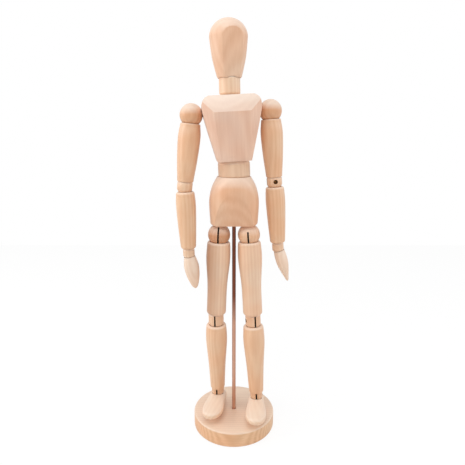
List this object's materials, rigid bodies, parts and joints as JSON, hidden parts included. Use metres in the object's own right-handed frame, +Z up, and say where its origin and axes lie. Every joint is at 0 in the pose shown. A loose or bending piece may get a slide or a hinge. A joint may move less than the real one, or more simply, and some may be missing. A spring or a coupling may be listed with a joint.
{
  "type": "artist mannequin",
  "caption": "Jointed wooden figure for drawing practice, held over a round base by a metal rod, with sprung ball joints that keep a pose.",
  "frame": {"origin": "centre of the base's underside", "axes": "+Z up, the figure faces -Y, +X is the figure's own left side"},
  "size_m": [0.0903, 0.069, 0.3298],
  "materials": {
    "body_wood": "sanded pale hardwood, unvarnished",
    "joint_wood": "sanded pale hardwood, slightly warmer",
    "rod_metal": "copper-brown metal rod",
    "spring_steel": "bright spring wire and pins"
  },
  "bodies": {
    "base": {"base": "body_wood"},
    "pelvis": {"pelvis": "body_wood", "pelvis_pin": "spring_steel"},
    "chest": {"chest": "body_wood", "chest_spring": "spring_steel"},
    "head": {"head": "body_wood"},
    "neck": {"neck": "joint_wood"},
    "neck_spring": {"neck_spring": "spring_steel"},
    "left_shoulder": {"left_shoulder": "joint_wood", "left_shoulder_pin": "spring_steel"},
    "left_upper_arm": {"left_upper_arm": "body_wood", "left_upper_arm_spring": "spring_steel"},
    "left_elbow": {"left_elbow": "joint_wood", "left_elbow_pin": "spring_steel"},
    "left_forearm": {"left_forearm": "body_wood", "left_forearm_spring": "spring_steel"},
    "left_wrist": {"left_wrist": "joint_wood"},
    "left_hand": {"left_hand": "body_wood", "left_hand_wire": "spring_steel"},
    "right_shoulder": {"right_shoulder": "joint_wood", "right_shoulder_pin": "spring_steel"},
    "right_upper_arm": {"right_upper_arm": "body_wood", "right_upper_arm_spring": "spring_steel"},
    "right_elbow": {"right_elbow": "joint_wood", "right_elbow_pin": "spring_steel"},
    "right_forearm": {"right_forearm": "body_wood", "right_forearm_spring": "spring_steel"},
    "right_wrist": {"right_wrist": "joint_wood"},
    "right_hand": {"right_hand": "body_wood", "right_hand_wire": "spring_steel"},
    "waist": {"waist": "joint_wood"},
    "spine_spring": {"spine_spring": "spring_steel"},
    "left_hip": {"left_hip": "joint_wood", "left_hip_pin": "spring_steel"},
    "left_thigh": {"left_thigh": "body_wood", "left_thigh_spring": "spring_steel"},
    "left_knee": {"left_knee": "joint_wood", "left_knee_pin": "spring_steel"},
    "left_shin": {"left_shin": "body_wood", "left_shin_spring": "spring_steel"},
    "left_ankle": {"left_ankle": "joint_wood", "left_ankle_pin": "spring_steel"},
    "left_foot": {"left_foot_wire": "spring_steel", "left_foot": "body_wood"},
    "left_hip_spring": {"left_hip_spring": "spring_steel"},
    "right_hip": {"right_hip": "joint_wood", "right_hip_pin": "spring_steel"},
    "right_thigh": {"right_thigh": "body_wood", "right_thigh_spring": "spring_steel"},
    "right_knee": {"right_knee": "joint_wood", "right_knee_pin": "spring_steel"},
    "right_shin": {"right_shin": "body_wood", "right_shin_spring": "spring_steel"},
    "right_ankle": {"right_ankle": "joint_wood", "right_ankle_pin": "spring_steel"},
    "right_foot": {"right_foot_wire": "spring_steel", "right_foot": "body_wood"},
    "right_hip_spring": {"right_hip_spring": "spring_steel"},
    "stand_rod": {"stand_rod": "rod_metal"}
  },
  "joints": [
    {"name": "figure_turn", "type": "hinge", "parent": "base", "child": "stand_rod", "pos_m": [0, 0, 0.0043], "axis": [0, 0, 1], "continuous": true},
    {"name": "figure_lift", "type": "slide", "parent": "stand_rod", "child": "pelvis", "axis": [0, 0, 1], "range_m": [0, 0.01]},
    {"name": "waist_turn", "type": "hinge", "parent": "pelvis", "child": "spine_spring", "pos_m": [0, 0, 0.22163], "axis": [0, 0, 1], "range_deg": [-60, 60]},
    {"name": "waist_lean", "type": "hinge", "parent": "spine_spring", "child": "waist", "pos_m": [0, 0, 0.22163], "axis": [-0.0872, 0.9962, 0], "range_deg": [-3, 5], "deforming": ["spine_spring"]},
    {"name": "chest_bow", "type": "hinge", "parent": "waist", "child": "chest", "pos_m": [0, 0, 0.22163], "axis": [0.9947, 0.087, 0.0541], "range_deg": [-18, 18]},
    {"name": "neck_turn", "type": "hinge", "parent": "chest", "child": "neck_spring", "pos_m": [-0.00331, -0.00029, 0.28299], "axis": [-0.0539, -0.0047, 0.9985], "range_deg": [-75, 75]},
    {"name": "neck_lean", "type": "hinge", "parent": "neck_spring", "child": "neck", "pos_m": [-0.00331, -0.00029, 0.28299], "axis": [-0.2754, 0.9613, -0.0103], "range_deg": [-20, 20], "deforming": ["neck_spring"]},
    {"name": "head_nod", "type": "hinge", "parent": "neck", "child": "head", "pos_m": [-0.00331, -0.00029, 0.28299], "axis": [0.961, 0.2755, 0.0217], "range_deg": [-20, 20]},
    {"name": "left_arm_swing", "type": "hinge", "parent": "chest", "child": "left_shoulder", "pos_m": [0.02745, 0.0024, 0.26528], "axis": [0.9947, 0.087, 0.0541], "continuous": true, "deforming": ["chest_spring"]},
    {"name": "left_arm_lift", "type": "hinge", "parent": "left_shoulder", "child": "left_upper_arm", "pos_m": [0.02745, 0.0024, 0.26528], "axis": [0.0872, -0.9962, 0], "range_deg": [0, 70]},
    {"name": "left_elbow_turn", "type": "hinge", "parent": "left_upper_arm", "child": "left_elbow", "pos_m": [0.03162, 0.00277, 0.21204], "axis": [-0.0782, -0.0068, 0.9969], "range_deg": [-90, 90], "deforming": ["left_upper_arm_spring"]},
    {"name": "left_elbow_bend", "type": "hinge", "parent": "left_elbow", "child": "left_forearm", "pos_m": [0.03162, 0.00277, 0.21204], "axis": [0.0872, -0.9962, 0], "range_deg": [-8, 50]},
    {"name": "left_wrist_turn", "type": "hinge", "parent": "left_forearm", "child": "left_wrist", "pos_m": [0.0356, 0.00312, 0.15889], "axis": [-0.0747, -0.0065, 0.9972], "range_deg": [-90, 90], "deforming": ["left_forearm_spring"]},
    {"name": "left_hand_bend", "type": "hinge", "parent": "left_wrist", "child": "left_hand", "pos_m": [0.0356, 0.00312, 0.15889], "axis": [-0.0872, 0.9962, 0], "range_deg": [-12, 25]},
    {"name": "right_arm_swing", "type": "hinge", "parent": "chest", "child": "right_shoulder", "pos_m": [-0.03198, -0.0028, 0.26205], "axis": [0.9947, 0.087, 0.0541], "continuous": true},
    {"name": "right_arm_lift", "type": "hinge", "parent": "right_shoulder", "child": "right_upper_arm", "pos_m": [-0.03198, -0.0028, 0.26205], "axis": [-0.0872, 0.9962, 0], "range_deg": [0, 70]},
    {"name": "right_elbow_turn", "type": "hinge", "parent": "right_upper_arm", "child": "right_elbow", "pos_m": [-0.03801, -0.00332, 0.20899], "axis": [0.1128, 0.0099, 0.9936], "range_deg": [-90, 90], "deforming": ["right_upper_arm_spring"]},
    {"name": "right_elbow_bend", "type": "hinge", "parent": "right_elbow", "child": "right_forearm", "pos_m": [-0.03801, -0.00332, 0.20899], "axis": [-0.0872, 0.9962, 0], "range_deg": [-3, 50]},
    {"name": "right_wrist_turn", "type": "hinge", "parent": "right_forearm", "child": "right_wrist", "pos_m": [-0.03606, -0.00315, 0.15573], "axis": [-0.0365, -0.0032, 0.9993], "range_deg": [-90, 90], "deforming": ["right_forearm_spring"]},
    {"name": "right_hand_bend", "type": "hinge", "parent": "right_wrist", "child": "right_hand", "pos_m": [-0.03606, -0.00315, 0.15573], "axis": [-0.0872, 0.9962, 0], "range_deg": [-12, 25]},
    {"name": "left_leg_turn", "type": "hinge", "parent": "pelvis", "child": "left_hip_spring", "pos_m": [0.0119, 0, 0.16976], "axis": [0, 0, 1], "range_deg": [-10, 45]},
    {"name": "left_leg_spread", "type": "hinge", "parent": "left_hip_spring", "child": "left_hip", "pos_m": [0.0119, 0, 0.16976], "axis": [0, -1, 0], "range_deg": [-2, 20], "deforming": ["left_hip_spring"]},
    {"name": "left_leg_swing", "type": "hinge", "parent": "left_hip", "child": "left_thigh", "pos_m": [0.0119, 0, 0.16976], "axis": [-0.9929, 0.1045, -0.0572], "range_deg": [-25, 70]},
    {"name": "left_knee_turn", "type": "hinge", "parent": "left_thigh", "child": "left_knee", "pos_m": [0.01586, -0.00188, 0.09759], "axis": [-0.0548, 0.026, 0.9982], "range_deg": [-18, 40], "deforming": ["left_thigh_spring"]},
    {"name": "left_knee_bend", "type": "hinge", "parent": "left_knee", "child": "left_shin", "pos_m": [0.01586, -0.00188, 0.09759], "axis": [0.965, 0.2586, 0.043], "range_deg": [0, 60]},
    {"name": "left_ankle_turn", "type": "hinge", "parent": "left_shin", "child": "left_ankle", "pos_m": [0.01936, -0.00363, 0.0297], "axis": [-0.0513, 0.0257, 0.9984], "range_deg": [-12, 40], "deforming": ["left_shin_spring"]},
    {"name": "left_foot_bend", "type": "hinge", "parent": "left_ankle", "child": "left_foot", "pos_m": [0.01936, -0.00363, 0.0297], "axis": [0.998, -0.035, 0.0522], "range_deg": [-14, 6]},
    {"name": "right_leg_turn", "type": "hinge", "parent": "pelvis", "child": "right_hip_spring", "pos_m": [-0.0119, 0, 0.16976], "axis": [0, 0, -1], "range_deg": [-10, 45]},
    {"name": "right_leg_spread", "type": "hinge", "parent": "right_hip_spring", "child": "right_hip", "pos_m": [-0.0119, 0, 0.16976], "axis": [0, 1, 0], "range_deg": [-2, 8], "deforming": ["right_hip_spring"]},
    {"name": "right_leg_swing", "type": "hinge", "parent": "right_hip", "child": "right_thigh", "pos_m": [-0.0119, 0, 0.16976], "axis": [-0.9967, 0.0698, 0.0418], "range_deg": [-25, 70]},
    {"name": "right_knee_turn", "type": "hinge", "parent": "right_thigh", "child": "right_knee", "pos_m": [-0.01489, 0.0005, 0.09752], "axis": [-0.0414, 0.007, -0.9991], "range_deg": [-18, 40], "deforming": ["right_thigh_spring"]},
    {"name": "right_knee_bend", "type": "hinge", "parent": "right_knee", "child": "right_shin", "pos_m": [-0.01489, 0.0005, 0.09752], "axis": [0.9902, -0.1394, 0.005], "range_deg": [0, 60]},
    {"name": "right_ankle_turn", "type": "hinge", "parent": "right_shin", "child": "right_ankle", "pos_m": [-0.0141, 0.00369, 0.0296], "axis": [0.0117, 0.0469, -0.9988], "range_deg": [-12, 40], "deforming": ["right_shin_spring"]},
    {"name": "right_foot_bend", "type": "hinge", "parent": "right_ankle", "child": "right_foot", "pos_m": [-0.0141, 0.00369, 0.0296], "axis": [0.9902, -0.1394, 0.005], "range_deg": [-14, 6]}
  ]
}
